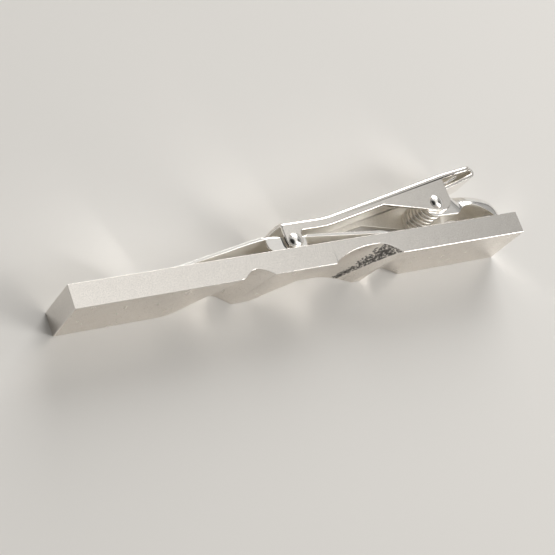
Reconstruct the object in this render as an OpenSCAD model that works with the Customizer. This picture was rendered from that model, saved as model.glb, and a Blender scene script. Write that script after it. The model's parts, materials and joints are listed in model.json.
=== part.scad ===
// Sprung tie clip: a carved bar with a lever clip on its back.
// X runs along the bar, the bar stands on its lower long edge at Z = 0,
// its carved front faces -Y and the clip stands off its back towards +Y.

/* [Bar] */
// Length of the bar
bar_l = 60; // [50:1:70]
// Width of the bar, from its lower edge to its upper edge
bar_w = 7.3; // [7:0.1:9]
// Thickness of the bar at its plain ends
bar_t = 2.75; // [2.4:0.05:3.5]

/* [Carved grooves] */
// Depth of the first groove at the lower edge
groove_1_low_d = 1.42; // [0.4:0.02:1.6]
// Depth of the first groove at the upper edge
groove_1_top_d = 0.97; // [0.4:0.02:1.6]
// Depth of the second groove at the lower edge
groove_2_low_d = 1.42; // [0.4:0.02:1.6]
// Depth of the second groove at the upper edge
groove_2_top_d = 1.6; // [0.4:0.02:1.7]
// Depth of the third groove at the lower edge
groove_3_low_d = 1.08; // [0.4:0.02:1.6]

/* [Pivots] */
// Distance of the main pin from the right end of the bar
main_pin_inset = 10.5; // [10:0.1:12]
// Height of the main pin above the back of the bar
main_pin_rise = 3.12; // [3:0.02:3.4]
// Distance between the two pins, along the bar
pin_spacing = 21; // [19:0.1:23]
// Height of the rocker pin above the back of the bar
rocker_pin_rise = 1.1; // [1.05:0.01:1.2]
// Radius of the main pin
main_pin_r = 0.5; // [0.4:0.02:0.7]
// Radius of the rocker pin
rocker_pin_r = 0.4; // [0.3:0.02:0.42]
// Radius of the domed rivet heads
head_r = 0.84; // [0.7:0.01:0.9]
// Height of the domed rivet heads
head_h = 0.36; // [0.25:0.01:0.45]

/* [Lever] */
// Width of the lever over its two walls
lever_w = 6.1; // [6:0.05:6.4]
// Thickness of the lever sheet
lever_t = 0.45; // [0.35:0.01:0.5]
// Height of the crown of the lever's back over its shoulders
lever_crown = 0.22; // [0.1:0.02:0.5]
// Radius of the lever's shoulders
shoulder_r = 0.35; // [0.2:0.05:0.45]
// Rise of the arm beyond its bend, in degrees
arm_angle = 10.2; // [9:0.1:11]
// Height of the lever's shoulders over the rocker pin
arm_over_pin = 2.28; // [2.24:0.02:2.5]
// Distance from the rocker pin to the bend of the arm
bend_from_pin = 4.9; // [3.5:0.1:6]
// Depth of the arm's walls
arm_wall_d = 1.2; // [1:0.05:1.3]
// Half width of the rounded ears that hold the rocker pin
ear_r = 1.12; // [1:0.02:1.15]
// Radius of the rounded lobes that hold the main pin
lobe_r = 1.55; // [1.45:0.05:1.6]
// Distance from the main pin to where the lobes begin
lobe_reach = 7.5; // [6:0.1:9]
// Distance from the main pin to the tip of the thumb tab
tab_reach = 8.1; // [7.6:0.05:8.3]
// Rise of the thumb tab, in degrees
tab_angle = 7; // [6:0.5:9]
// Depth of the lips along the thumb tab's sides
lip_d = 0.66; // [0.5:0.02:0.8]
// Width of the tongue that is folded under at the tab's tip
tongue_w = 4.2; // [3.6:0.1:4.6]
// Rise of the tongue towards the tip, in degrees
tongue_angle = 13.8; // [11:0.2:14]
// Outer radius of the fold at the tip
fold_r = 0.66; // [0.6:0.01:0.7]

/* [Rocker strip] */
// Length of the strip to the left of its pin
strip_left = 18.4; // [16:0.1:19]
// Length of the strip to the right of its pin
strip_right = 13.4; // [11:0.1:14]
// Thickness of the strip
strip_t = 0.35; // [0.25:0.01:0.38]
// Distance from the rocker pin to the crest of the strip
crest_from_pin = 3.5; // [3:0.1:4]
// Length of the flat tip that lies on the bar
strip_foot = 2.8; // [2:0.1:4]
// Fall of the strip to the right of its crest, in degrees
strip_fall = 5.7; // [4.5:0.1:6.2]

/* [Hinge bracket] */
// Thickness of the bracket sheet
bracket_t = 0.4; // [0.3:0.01:0.42]
// Radius of the bracket's ears round the main pin
bracket_ear_r = 1.65; // [1.5:0.05:1.8]
// Height of the hood over the bar
hood_rise = 4.22; // [4:0.02:4.3]
// Distance from the main pin to the open edge of the hood
hood_from_pin = 3.8; // [3.5:0.05:4]
// Distance from the main pin to the soldered tip of the hood
hood_reach = 10.05; // [9.6:0.05:10.2]

/* [Torsion spring] */
// Diameter of the spring wire
wire_d = 0.4; // [0.34:0.01:0.4]
// Mean radius of the coil
coil_r = 1.5; // [1.3:0.05:1.55]
// Whole turns of the coil between its two legs
coil_turns = 4; // [3:1:4]

/* [Hidden] */
$fn = 64;

// Radial clearance of a pin in the walls that turn on it
pivot_gap = 0.04;
// Radial clearance of a pin in the walls that carry it
seat_gap = 0.015;
// Clearance between sheet walls that pass each other
side_gap = 0.05;
// Clearance under the rivet heads
head_gap = 0.03;
// Clearance of the strip's tips and the spring's legs over what they bear on
rest_gap = 0.04;
// Overrun of every cut
cut = 1;

// Grooves: places as shares of the bar's length from its left end, in the order
// start, end of the near flank, start of the far flank, end
groove_1_low_shares = [0.207, 0.333, 0.322, 0.363];
groove_1_top_shares = [0.329, 0.365, 0.367, 0.403];
groove_2_low_shares = [0.397, 0.533, 0.550, 0.638];
groove_2_top_shares = [0.538, 0.633, 0.642, 0.694];
groove_3_low_shares = [0.672, 0.710, 0.717, 0.752];
groove_3_top_shares = [0.684, 0.700, 0.705, 0.722];
// How full each groove's two flanks are, at its lower and its upper end
groove_1_flank_shares = [[2, 1.9], [1.2, 1]];
groove_2_flank_shares = [[1.4, 1.3], [0.6, 0.8]];
groove_3_flank_shares = [[1, 0.8], [1, 0.8]];
// Height at which the third groove runs out, as a share of the bar's width
groove_3_end_share = 0.7;
// Steps along and up each groove
groove_steps = 22;
groove_levels = 8;

// Places of the two pins in side view
main_pin_at = [bar_l / 2 - main_pin_inset, main_pin_rise];
rocker_pin_at = [main_pin_at.x - pin_spacing, rocker_pin_rise];

// Half widths across the clip, each inside the last
lever_half = lever_w / 2;
bracket_half = lever_half - lever_t - side_gap;
coil_half = bracket_half - bracket_t - side_gap - wire_d / 2;
strip_half = lever_half - lever_t - 2 * side_gap;

// Lever: half length of its soft bend, its ears' place over their pin and
// their inner corner, its lobes' place off the main pin, its inner bends
bend_half = 1.2;
ear_lift = 0.2;
bend_x = rocker_pin_at.x + bend_from_pin;
ear_fillet_r = 0.4;
ear_x = rocker_pin_at.x - ear_r;
lobe_shift = 0.7;
lobe_lift = 0.28;
lobe_at = main_pin_at + [lobe_shift, lobe_lift];
lobe_x = main_pin_at.x - lobe_reach;
lobe_end_x = lobe_at.x + lobe_r;
inner_corner_r = 0.12;

// Thumb tab: how far the tongue is thinned on each face, its overlap with the
// arm, the gap before its end, the tab's rounded corners and soft bend
tab_step = 0.03;
tab_fuse = 1.6;
tab_gap = 0.75;
tab_corner_r = 1;
tab_soft = 0.6;
fold_steps = 10;
fold_x = main_pin_at.x + tab_reach - fold_r;
tongue_t = lever_t - 2 * tab_step;

// Strip: clearance over its pin, soft bends, the curl of its tip, in degrees,
// and the flanges that hold its pin
strip_over_pin = 0.15;
crest_half = 1.6;
foot_half = 1.2;
curl_half = 0.4;
tip_fall = 22;
saddle_left = 3.4;
saddle_right = 1.75;
saddle_rise = 0.3;
saddle_corner_r = 0.5;

// Hood: where it starts to fall and to narrow, the lower end of its open edge,
// how high the ears stay upright, their lower edge, the arch of its mouth
hood_fall_from_pin = 4.3;
hood_narrow_from_pin = 8.2;
mouth_from_pin = 5.2;
hood_x = main_pin_at.x + hood_from_pin;
hood_tip_x = main_pin_at.x + hood_reach;
hood_fall_x = main_pin_at.x + hood_fall_from_pin;
hood_narrow_x = main_pin_at.x + hood_narrow_from_pin;
hood_neck = 0.3;
ear_end_x = main_pin_at.x + bracket_ear_r;
wall_rise = main_pin_rise + bracket_ear_r + head_gap;
foot_rise = 1.35;
mouth_x = main_pin_at.x + mouth_from_pin;
mouth_half = 3.25;
mouth_rise = 2.42;
hood_fall_share = 2.4;
hood_round_share = 2.5;

// Spring: clearance over the tongue, length of its lower leg,
// steps along a leg, rings round a curl and sides of the wire
leg_over_gap = 0.1;
lower_leg_l = 5.85;
leg_steps = 6;
coil_rings = 8;
wire_sides = 6;

// A soft step from level to a slope of one: 0 before it, u after it
function ramp(u, soft) =
    u <= -soft ? 0 : u >= soft ? u : (u + soft) ^ 2 / (4 * soft);

// Slope of that step
function ramp_slope(u, soft) = min(1, max(0, (u + soft) / (2 * soft)));

// Line of the lever's shoulders: level to the bend, then rising to the tab
function lever_top(x) =
    rocker_pin_rise + arm_over_pin
    + tan(arm_angle) * ramp(x - bend_x, bend_half)
    - (tan(arm_angle) - tan(tab_angle)) * ramp(x - lobe_end_x, tab_soft);

// Height of the crown over the shoulders, which dies out at the tab's fold
function crown_at(x) =
    lever_crown * min(1, max(0, (fold_x - x) / (fold_x - lobe_end_x)));

// Places across a section: two rounded shoulders and the back between them
function across(half, r) = concat(
    [for (a = [-90:22.5:-22.5]) r * sin(a) - (half - r)],
    [for (i = [-4:4]) (half - r) * i / 4],
    [for (a = [22.5:22.5:90]) r * sin(a) + (half - r)]);

// Drop of a rounded shoulder at place z across it
function shoulder_drop(half, r, z) =
    let (over = abs(z) - (half - r))
    over <= 0 ? 0 : r - sqrt(max(0, r ^ 2 - over ^ 2));

// Lower point where the line from p touches a circle
function tangent_point(p, centre, r) =
    let (d = norm(centre - p), a = atan2(centre.y - p.y, centre.x - p.x) - asin(r / d))
    p + sqrt(d ^ 2 - r ^ 2) * [cos(a), sin(a)];

// Points of a round corner between two angles
function arc(centre, r, from, to, steps) =
    [for (i = [0:steps]) let (a = from + (to - from) * i / steps) centre + r * [cos(a), sin(a)]];

// Solid through rings of equally many points, whose first half runs back
// under their second half
module skin(rings) {
    n = len(rings[0]);
    last = (len(rings) - 1) * n;
    polyhedron(
        points = [for (ring = rings) each ring],
        faces = concat(
            [for (i = [0:n / 2 - 2]) each [[i, i + 1, n - 1 - i], [i + 1, n - 2 - i, n - 1 - i]]],
            [for (k = [0:len(rings) - 2], i = [0:n - 1])
                let (a = k * n + i, b = k * n + (i + 1) % n)
                each [[a, a + n, b], [b, a + n, b + n]]],
            [for (i = [0:n / 2 - 2]) each [
                [last + i, last + n - 1 - i, last + i + 1],
                [last + i + 1, last + n - 1 - i, last + n - 2 - i]]]));
}

// The clip's own frame: Y = 0 on the back of the bar, Z = 0 mid width
module on_back() {
    translate([0, bar_t / 2, bar_w / 2]) children();
}

// A flat shape in side view, made as wide as the clip and more
module through() {
    linear_extrude(lever_w + 2 * cut, center = true) children();
}

// Two equal walls, their outer faces a half width from the middle
module walls(half, thick) {
    for (side = [0, 1]) mirror([0, 0, side])
        translate([0, 0, half - thick]) linear_extrude(thick) children();
}

// A bore across the clip
module bore(at, r) {
    translate(at) cylinder(h = lever_w + 2 * cut, r = r, center = true);
}

// A rivet across the clip with two domed heads
module rivet(at, r) {
    end = lever_half + head_gap;
    dome_r = (head_r ^ 2 + head_h ^ 2) / (2 * head_h);
    color("gainsboro") on_back() translate(at) {
        cylinder(h = 2 * end, r = r, center = true);
        for (side = [0, 1]) mirror([0, 0, side]) intersection() {
            translate([0, 0, end]) cylinder(h = head_h, r = head_r);
            translate([0, 0, end + head_h - dome_r]) sphere(dome_r);
        }
    }
}

// Depth of a groove at x: it goes in along one flank and out along the other
function groove_depth(x, at, flank, d) = d * min(
    sin(90 * min(1, max(0, (x - at[0]) / (at[1] - at[0])))) ^ flank[0],
    sin(90 * min(1, max(0, (at[3] - x) / (at[3] - at[2])))) ^ flank[1]);

// One groove carved into the front, from the lower edge up to height top
module groove(low, high, flanks, low_d, high_d, top) {
    skin([for (k = [-1:groove_levels + 1])
        let (
            z = k < 0 ? -cut : k > groove_levels ? top + cut : top * k / groove_levels,
            s = z / top,
            at = bar_l * (low + (high - low) * s),
            flank = flanks[0] + (flanks[1] - flanks[0]) * s,
            d = low_d + (high_d - low_d) * s,
            xs = [for (i = [0:groove_steps]) at[0] + (at[3] - at[0]) * i / groove_steps])
        concat(
            [for (i = [0:groove_steps]) [xs[i], -cut, z]],
            [for (i = [groove_steps:-1:0]) [xs[i], groove_depth(xs[i], at, flank, d), z]])]);
}

// The bar, with three grooves that slant across its front
module bar() {
    color("silver") translate([-bar_l / 2, -bar_t / 2, 0]) difference() {
        cube([bar_l, bar_t, bar_w]);
        groove(groove_1_low_shares, groove_1_top_shares, groove_1_flank_shares,
            groove_1_low_d, groove_1_top_d, bar_w);
        groove(groove_2_low_shares, groove_2_top_shares, groove_2_flank_shares,
            groove_2_low_d, groove_2_top_d, bar_w);
        groove(groove_3_low_shares, groove_3_top_shares, groove_3_flank_shares,
            groove_3_low_d, 0, bar_w * groove_3_end_share);
    }
}

// Half width and height of the hood at x, an inset in from its outer face
function hood_half(x, inset) =
    let (t = max(0, (x - hood_narrow_x) / (hood_tip_x - inset - hood_narrow_x)))
    (bracket_half - inset) * sqrt(1 - t ^ 2);
function hood_top(x, inset) =
    let (t = max(0, (x - hood_fall_x) / (hood_tip_x - inset - hood_fall_x)))
    (hood_rise - inset) * (1 - t ^ hood_fall_share) ^ (1 / hood_fall_share);

// The bracket's outer or inner form: upright walls that draw in to a rounded
// crown, which falls and narrows to the tip
module bracket_form(inset) {
    tip = hood_tip_x - inset;
    xs = concat(
        [main_pin_at.x - bracket_ear_r - cut],
        [for (i = [0:4]) ear_end_x + (hood_x - ear_end_x) * i / 4],
        [for (i = [0:10]) hood_fall_x + (tip - hood_fall_x) * sin(8.6 * i)]);
    skin([for (x = xs)
        let (
            s = min(1, max(0, (hood_x - x) / (hood_x - ear_end_x))),
            wall = wall_rise * s,
            rise = (hood_top(x, inset) + (cut - hood_top(x, inset)) * s),
            around = [for (a = [0:15:180]) [
                sign(cos(a)) * abs(cos(a)) ^ (2 / hood_round_share),
                sin(a) ^ (2 / hood_round_share)]])
        concat(
            [for (p = around) [x, -cut, hood_half(x, inset) * p.x]],
            [for (i = [12:-1:0]) [x, wall + rise * around[i].y, hood_half(x, inset) * around[i].x]])]);
}

// Side view of the bracket: round ears that run on into the arched hood
module bracket_outline() {
    translate(main_pin_at) circle(bracket_ear_r);
    difference() {
        polygon([
            main_pin_at + [0, bracket_ear_r],
            main_pin_at - [0, bracket_ear_r],
            [mouth_x, foot_rise],
            [mouth_x, 0],
            [hood_tip_x + cut, 0],
            [hood_tip_x + cut, hood_rise + cut],
            [hood_x, hood_rise + cut],
            [hood_x, hood_rise],
            [ear_end_x, main_pin_rise + hood_neck]]);
        polygon(concat(
            [[mouth_x + mouth_half, -cut], [mouth_x - mouth_half, -cut]],
            [for (i = [-8:8]) [mouth_x + mouth_half * i / 8, mouth_rise * (1 - (i / 8) ^ 2)]]));
    }
}

// The bracket: a hood soldered to the bar, with two ears for the main pin
module hinge_bracket() {
    color("darkgray") on_back() difference() {
        intersection() {
            bracket_form(0);
            through() bracket_outline();
        }
        bracket_form(bracket_t);
        bore(main_pin_at, main_pin_r + seat_gap);
    }
}

// The main pin, on which the lever and the spring ride
module main_pin() {
    rivet(main_pin_at, main_pin_r);
}

// The lever's outer or inner form: a channel with a crowned back
module lever_form(inset, corner_r) {
    half = lever_half - inset;
    zs = across(half, corner_r);
    xs = concat(
        [ear_x - cut],
        [for (i = [-3:3]) bend_x + bend_half * i / 3],
        [lobe_end_x - tab_soft, lobe_end_x, lobe_end_x + tab_soft, fold_x, fold_x + cut]);
    skin([for (x = xs) concat(
        [for (i = [len(zs) - 1:-1:0]) [x, -cut, zs[i]]],
        [for (z = zs) [
            x,
            lever_top(x) - inset + crown_at(x) * (1 - (z / lever_half) ^ 2)
                - shoulder_drop(half, corner_r, z),
            z]])]);
}

// Side view of the lever: ears, arm walls, lobes and the tab's lips
module lever_outline() {
    ear_at = rocker_pin_at + [0, ear_lift];
    low = lever_top(ear_x) - arm_wall_d;
    lobe_start = [lobe_x, lever_top(lobe_x) - arm_wall_d];
    top = lever_top(fold_x + cut) + lever_crown + cut;
    translate(ear_at) circle(ear_r);
    translate(lobe_at) circle(lobe_r);
    polygon(concat(
        [ear_at - [ear_r, 0], ear_at + [ear_r, 0]],
        arc([ear_at.x + ear_r + ear_fillet_r, low - ear_fillet_r], ear_fillet_r, 180, 90, 4),
        [for (i = [-3:3]) let (x = bend_x + bend_half * i / 3) [x, lever_top(x) - arm_wall_d]],
        [lobe_start, tangent_point(lobe_start, lobe_at, lobe_r), lobe_at],
        [[lobe_end_x, lobe_at.y]],
        [for (x = [lobe_end_x, lobe_end_x + tab_soft, fold_x + cut]) [x, lever_top(x) - lip_d]],
        [[fold_x + cut, top], [ear_x, top]]));
}

// Plan of the lever: square at the ears, rounded in to the tongue at the tab
module lever_plan() {
    side = lever_half + cut;
    for (m = [0, 1]) mirror([0, m]) polygon(concat(
        [[ear_x - cut, 0], [ear_x - cut, side], [fold_x - tab_corner_r, side]],
        arc([fold_x - tab_corner_r, lever_half - tab_corner_r], tab_corner_r, 90, 0, 6),
        [[fold_x, 0]]));
}

// Where the fold turns, the directions out of the tab and out of the tongue
fold_up = [-sin(tab_angle), cos(tab_angle)];
fold_at = [fold_x, lever_top(fold_x) - tab_step] - fold_r * fold_up;
tongue_out = [sin(tongue_angle), -cos(tongue_angle)];
tongue_along = [-cos(tongue_angle), -sin(tongue_angle)];
tongue_l = (fold_at.x + fold_r * tongue_out.x - lobe_end_x - tab_gap) / cos(tongue_angle);
tongue_end = fold_at + fold_r * tongue_out + tongue_l * tongue_along;

// The tab's tip: the sheet narrows, folds over and runs back as a tongue
module folded_tip() {
    turn = 180 - tongue_angle + tab_angle;
    // Each station: a point on the outer face and the direction out of it
    stations = concat(
        [for (x = [fold_x - tab_fuse, fold_x - tab_fuse / 2])
            [[x, lever_top(x) - tab_step], fold_up]],
        [for (i = [0:fold_steps]) let (a = 90 + tab_angle - turn * i / fold_steps)
            [fold_at + fold_r * [cos(a), sin(a)], [cos(a), sin(a)]]],
        [for (i = [1:2]) [fold_at + fold_r * tongue_out + tongue_l * i / 2 * tongue_along, tongue_out]]);
    skin([for (s = stations)
        let (
            at = s[0],
            out = s[1],
            crown = at.x < fold_x && out == fold_up ? crown_at(at.x) : 0,
            zs = [for (i = [-4:4]) tongue_w / 2 * i / 4])
        concat(
            [for (i = [8:-1:0])
                let (p = at + out * (crown * (1 - (zs[i] / lever_half) ^ 2) - tongue_t))
                [p.x, p.y, zs[i]]],
            [for (z = zs)
                let (p = at + out * crown * (1 - (z / lever_half) ^ 2))
                [p.x, p.y, z]])]);
}

// The lever, one sheet: ears, crowned arm, lobes and thumb tab
module clip_lever() {
    color("lightgray") on_back() {
        difference() {
            intersection() {
                lever_form(0, shoulder_r);
                through() lever_outline();
                rotate([90, 0, 0]) linear_extrude(3 * lever_top(fold_x), center = true) lever_plan();
            }
            lever_form(lever_t, inner_corner_r);
            bore(main_pin_at, main_pin_r + pivot_gap);
            bore(rocker_pin_at, rocker_pin_r + seat_gap);
        }
        folded_tip();
    }
}

// Corners of the strip's line, from its left tip to its right tip
foot_x = rocker_pin_at.x - strip_left + strip_foot;
crest_x = rocker_pin_at.x - crest_from_pin;
tip_x = rocker_pin_at.x + strip_right;
foot_h = strip_t + rest_gap;
crest_h = rocker_pin_rise + rocker_pin_r + strip_over_pin + strip_t
    + crest_from_pin * tan(strip_fall);
tip_h = rest_gap + strip_t * cos(tip_fall);
curl_x = tip_x - (crest_h - (tip_x - crest_x) * tan(strip_fall) - tip_h)
    / (tan(tip_fall) - tan(strip_fall));
rise = (crest_h - foot_h) / (crest_x - foot_x);

// Upper face of the strip, and its slope
function strip_top(x) =
    foot_h + rise * ramp(x - foot_x, foot_half)
    - (rise + tan(strip_fall)) * ramp(x - crest_x, crest_half)
    - (tan(tip_fall) - tan(strip_fall)) * ramp(x - curl_x, curl_half);
function strip_slope(x) =
    rise * ramp_slope(x - foot_x, foot_half)
    - (rise + tan(strip_fall)) * ramp_slope(x - crest_x, crest_half)
    - (tan(tip_fall) - tan(strip_fall)) * ramp_slope(x - curl_x, curl_half);

// The sprung leaf that grips the tie, with two flanges for its pin
module rocker_strip() {
    left_x = rocker_pin_at.x - saddle_left;
    right_x = rocker_pin_at.x + saddle_right;
    xs = concat(
        [rocker_pin_at.x - strip_left],
        [for (i = [-3:3]) foot_x + foot_half * i / 3],
        [for (i = [-4:4]) crest_x + crest_half * i / 4],
        [for (i = [-2:2]) curl_x + curl_half * i / 2],
        [tip_x]);
    color("whitesmoke") on_back() difference() {
        union() {
            linear_extrude(2 * strip_half, center = true) polygon(concat(
                [for (x = xs) [x, strip_top(x)]],
                [for (i = [len(xs) - 1:-1:0])
                    let (x = xs[i], a = atan(strip_slope(x)))
                    [x, strip_top(x)] + strip_t * [sin(a), -cos(a)]]));
            walls(strip_half, strip_t) polygon(concat(
                [for (x = [left_x, crest_x - crest_half / 2, crest_x, crest_x + crest_half / 2,
                        crest_x + crest_half, right_x])
                    if (x >= left_x) [x, strip_top(x) - strip_t / 2]],
                arc([right_x - saddle_corner_r, saddle_rise + saddle_corner_r],
                    saddle_corner_r, 0, -90, 4),
                arc([left_x + saddle_corner_r, saddle_rise + saddle_corner_r],
                    saddle_corner_r, -90, -180, 4)));
        }
        bore(rocker_pin_at, rocker_pin_r + pivot_gap);
    }
}

// The pin that joins the strip to the lever
module rocker_pin() {
    rivet(rocker_pin_at, rocker_pin_r);
}

// Slope of the spring's upper leg, which just clears the tongue's end
leg_over = tongue_end - tongue_t * tongue_out + [0, leg_over_gap + wire_d / 2] - main_pin_at;
upper_leg_a = atan2(leg_over.y, leg_over.x) - asin(coil_r / norm(leg_over));
// Its tip, under the tab
upper_leg_from = main_pin_at + coil_r * [-sin(upper_leg_a), cos(upper_leg_a)];
upper_leg_room = lever_top(fold_x) - tab_step - lever_t - rest_gap
    - wire_d / 2 / cos(upper_leg_a) - (fold_x - upper_leg_from.x) * tan(tab_angle)
    - upper_leg_from.y;
upper_leg_l = upper_leg_room / (tan(upper_leg_a) - tan(tab_angle)) / cos(upper_leg_a);
// Slope of its lower leg, whose tip bears on the bar
lower_leg_a = asin((main_pin_rise - wire_d / 2 - rest_gap) / norm([coil_r, lower_leg_l]))
    - atan2(coil_r, lower_leg_l);
// Angle that the coil turns through, from one leg to the other
coil_from = 90 + upper_leg_a;
coil_sweep = 270 - lower_leg_a - coil_from + 360 * coil_turns;
coil_steps = ceil(coil_rings * coil_sweep / 360);

// The middle of the wire, from its upper leg's tip to its lower leg's tip
function coil_point(t) =
    let (a = coil_from + coil_sweep * t)
    [main_pin_at.x + coil_r * cos(a), main_pin_at.y + coil_r * sin(a), coil_half * (1 - 2 * t)];
wire_path = concat(
    [for (i = [leg_steps:-1:1]) coil_point(0)
        + upper_leg_l * i / leg_steps * [cos(upper_leg_a), sin(upper_leg_a), 0]],
    [for (i = [0:coil_steps]) coil_point(i / coil_steps)],
    [for (i = [1:leg_steps]) coil_point(1)
        + lower_leg_l * i / leg_steps * [cos(lower_leg_a), -sin(lower_leg_a), 0]]);

// Least gap of the wire to itself, between places over half a curl apart
echo(spring_gap = min([for (i = [0:len(wire_path) - 1], j = [i + coil_rings / 2 + 1:len(wire_path) - 1])
    if (j < len(wire_path)) norm(wire_path[i] - wire_path[j]) - wire_d]));

// The spring that holds the clip shut, one unbroken wire
module torsion_spring() {
    last = len(wire_path) - 1;
    color("dimgray") on_back() skin([for (i = [0:last])
        let (
            along = wire_path[min(last, i + 1)] - wire_path[max(0, i - 1)],
            t = along / norm(along),
            side = cross([0, 0, 1], t) / norm(cross([0, 0, 1], t)),
            up = cross(t, side))
        [for (k = [0:wire_sides - 1])
            let (a = 360 * k / wire_sides)
            wire_path[i] + wire_d / 2 * (side * cos(a) + up * sin(a))]]);
}

bar();
hinge_bracket();
main_pin();
clip_lever();
rocker_strip();
rocker_pin();
torsion_spring();
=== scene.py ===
# %% [markdown]
# # A sprung tie clip, dressed around its working model
#
# The clip is a carved silver bar with a lever clip on its back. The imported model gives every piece
# its size, its place and its joint. This lesson makes the finer pieces that are seen: rounded sheet
# edges, a hammered groove, domed rivets and a wound spring, and then gives them their metal.

# %% Load the frame
import json
import math

import bmesh
import bpy
import numpy as np
from mathutils import Matrix, Vector


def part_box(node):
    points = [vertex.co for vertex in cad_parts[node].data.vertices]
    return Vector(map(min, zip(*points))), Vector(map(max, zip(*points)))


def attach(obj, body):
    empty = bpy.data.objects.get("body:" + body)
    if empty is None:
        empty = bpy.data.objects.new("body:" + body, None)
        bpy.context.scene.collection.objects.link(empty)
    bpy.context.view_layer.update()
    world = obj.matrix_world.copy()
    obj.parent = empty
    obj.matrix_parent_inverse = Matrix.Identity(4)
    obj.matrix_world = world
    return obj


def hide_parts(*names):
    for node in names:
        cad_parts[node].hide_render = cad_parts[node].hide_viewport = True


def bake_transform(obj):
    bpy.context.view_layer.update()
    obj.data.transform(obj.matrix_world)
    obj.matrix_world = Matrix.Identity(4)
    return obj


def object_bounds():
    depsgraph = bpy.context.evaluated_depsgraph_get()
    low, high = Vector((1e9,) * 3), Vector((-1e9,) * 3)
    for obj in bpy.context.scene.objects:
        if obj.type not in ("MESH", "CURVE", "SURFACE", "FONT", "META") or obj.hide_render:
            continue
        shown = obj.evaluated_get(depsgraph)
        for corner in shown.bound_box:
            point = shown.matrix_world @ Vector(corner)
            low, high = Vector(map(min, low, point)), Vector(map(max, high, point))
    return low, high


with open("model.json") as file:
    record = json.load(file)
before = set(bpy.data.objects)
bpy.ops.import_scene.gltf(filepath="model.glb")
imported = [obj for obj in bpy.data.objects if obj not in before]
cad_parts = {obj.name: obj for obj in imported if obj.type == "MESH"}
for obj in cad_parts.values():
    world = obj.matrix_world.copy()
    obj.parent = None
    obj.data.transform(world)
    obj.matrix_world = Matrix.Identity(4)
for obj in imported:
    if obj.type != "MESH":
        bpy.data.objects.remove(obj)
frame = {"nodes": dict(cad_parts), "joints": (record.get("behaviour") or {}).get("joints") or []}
cad_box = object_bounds()
MM = 0.001
box_in_mm = [tuple(round(v / MM, 2) for v in corner) for corner in cad_box]
print("frame of", len(frame["nodes"]), "nodes, box", box_in_mm)

# %% [markdown]
# ## The camera
#
# A long lens stood close above the left end of the bar. Its place and turn were worked out from the
# corners of the bar in the photograph, so they are written as one place and two directions.

# %% Set the camera
camera_at = Vector((-91.37, -48.05, 137.66)) * MM
camera_right = Vector((0.83816, -0.33468, 0.43066))
camera_up = Vector((0.14571, 0.89830, 0.41451))
focal_pixels = 1492.86
photo_pixels = 555
sensor_width = 36
nearest = 10 * MM
farthest = 20

bpy.ops.object.select_all(action="DESELECT")
bpy.ops.object.camera_add(location=camera_at)
camera = bpy.context.object
camera_back = camera_right.cross(camera_up)
turn = Matrix((camera_right, camera_up, camera_back)).transposed().to_4x4()
camera.matrix_world = Matrix.Translation(camera_at) @ turn
camera.data.sensor_width = sensor_width
camera.data.lens = focal_pixels / photo_pixels * sensor_width
camera.data.clip_start = nearest
camera.data.clip_end = farthest
bpy.context.scene.camera = camera
looking = tuple(round(-v, 2) for v in camera_back)
print("lens of", round(camera.data.lens, 1), "mm, looking along", looking)

# %% [markdown]
# ## Places on the frame
#
# The lever clip is worked out in side view: x runs along the bar and h is the height over the bar's
# back. `on_back` turns such a point, and its place w across the clip, into a point of the frame.
# The two pins stand where the model's joints are.

# %% Read the frame's places
bar_low, bar_high = (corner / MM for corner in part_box("bar"))
bar_l = bar_high.x - bar_low.x
bar_w = bar_high.z - bar_low.z
back_y = bar_high.y
mid_z = (bar_low.z + bar_high.z) / 2
joint_at = {joint["name"]: Vector(joint["pos_m"]) / MM for joint in frame["joints"]}
main_pin = (joint_at["lever_pivot"].x, joint_at["lever_pivot"].y - back_y)
rocker_pin = (joint_at["rocker_pivot"].x, joint_at["rocker_pivot"].y - back_y)


def on_back(x, h, w):
    """A point of the clip's side view, in millimetres, as a place in the frame, in metres."""
    return Vector((x, back_y + h, mid_z + w)) * MM


print("pins at", main_pin, rocker_pin)

# %% [markdown]
# ## The carved bar
#
# The front of the bar is carved with three grooves that slant across it. They could be cut from a
# block with other shapes, but a cut leaves slivers that shade badly. So the front starts as a grid,
# which gives every place on it a row and a column. The columns are slid so that they run along the
# grooves, and each point is then sunk by the groove's depth there, so a crease follows a column and
# stays crisp. The border of the grid is rounded back, because the real edges are a little worn.

# %% Lines of the grooves
# Each groove's near edge, where its near flank ends, where its far flank starts, and its far edge
groove_low_shares = [
    (0.207, 0.333, 0.322, 0.363),
    (0.397, 0.533, 0.550, 0.638),
    (0.658, 0.695, 0.717, 0.752)]
groove_top_shares = [
    (0.329, 0.365, 0.367, 0.403),
    (0.538, 0.633, 0.642, 0.694),
    (0.684, 0.700, 0.705, 0.722)]
# Each groove's depth at the bar's lower and upper edge, and how far up the bar it runs
groove_depths = [(1.42, 0.97), (1.42, 1.60), (1.08, 0)]
groove_end_shares = (1, 1, 0.7)
# How hollow each groove's near and far flanks are: over 1 a flank starts flat, under 1 steep
flank_low_powers = [(2, 1.2), (1.4, 0.9), (1, 1)]
flank_top_powers = [(1.9, 1), (0.68, 0.8), (0.8, 0.8)]


def between(low, top, share):
    """Values between two lists, at a share of the way up the bar."""
    return [a + (b - a) * share for a, b in zip(low, top)]


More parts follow.
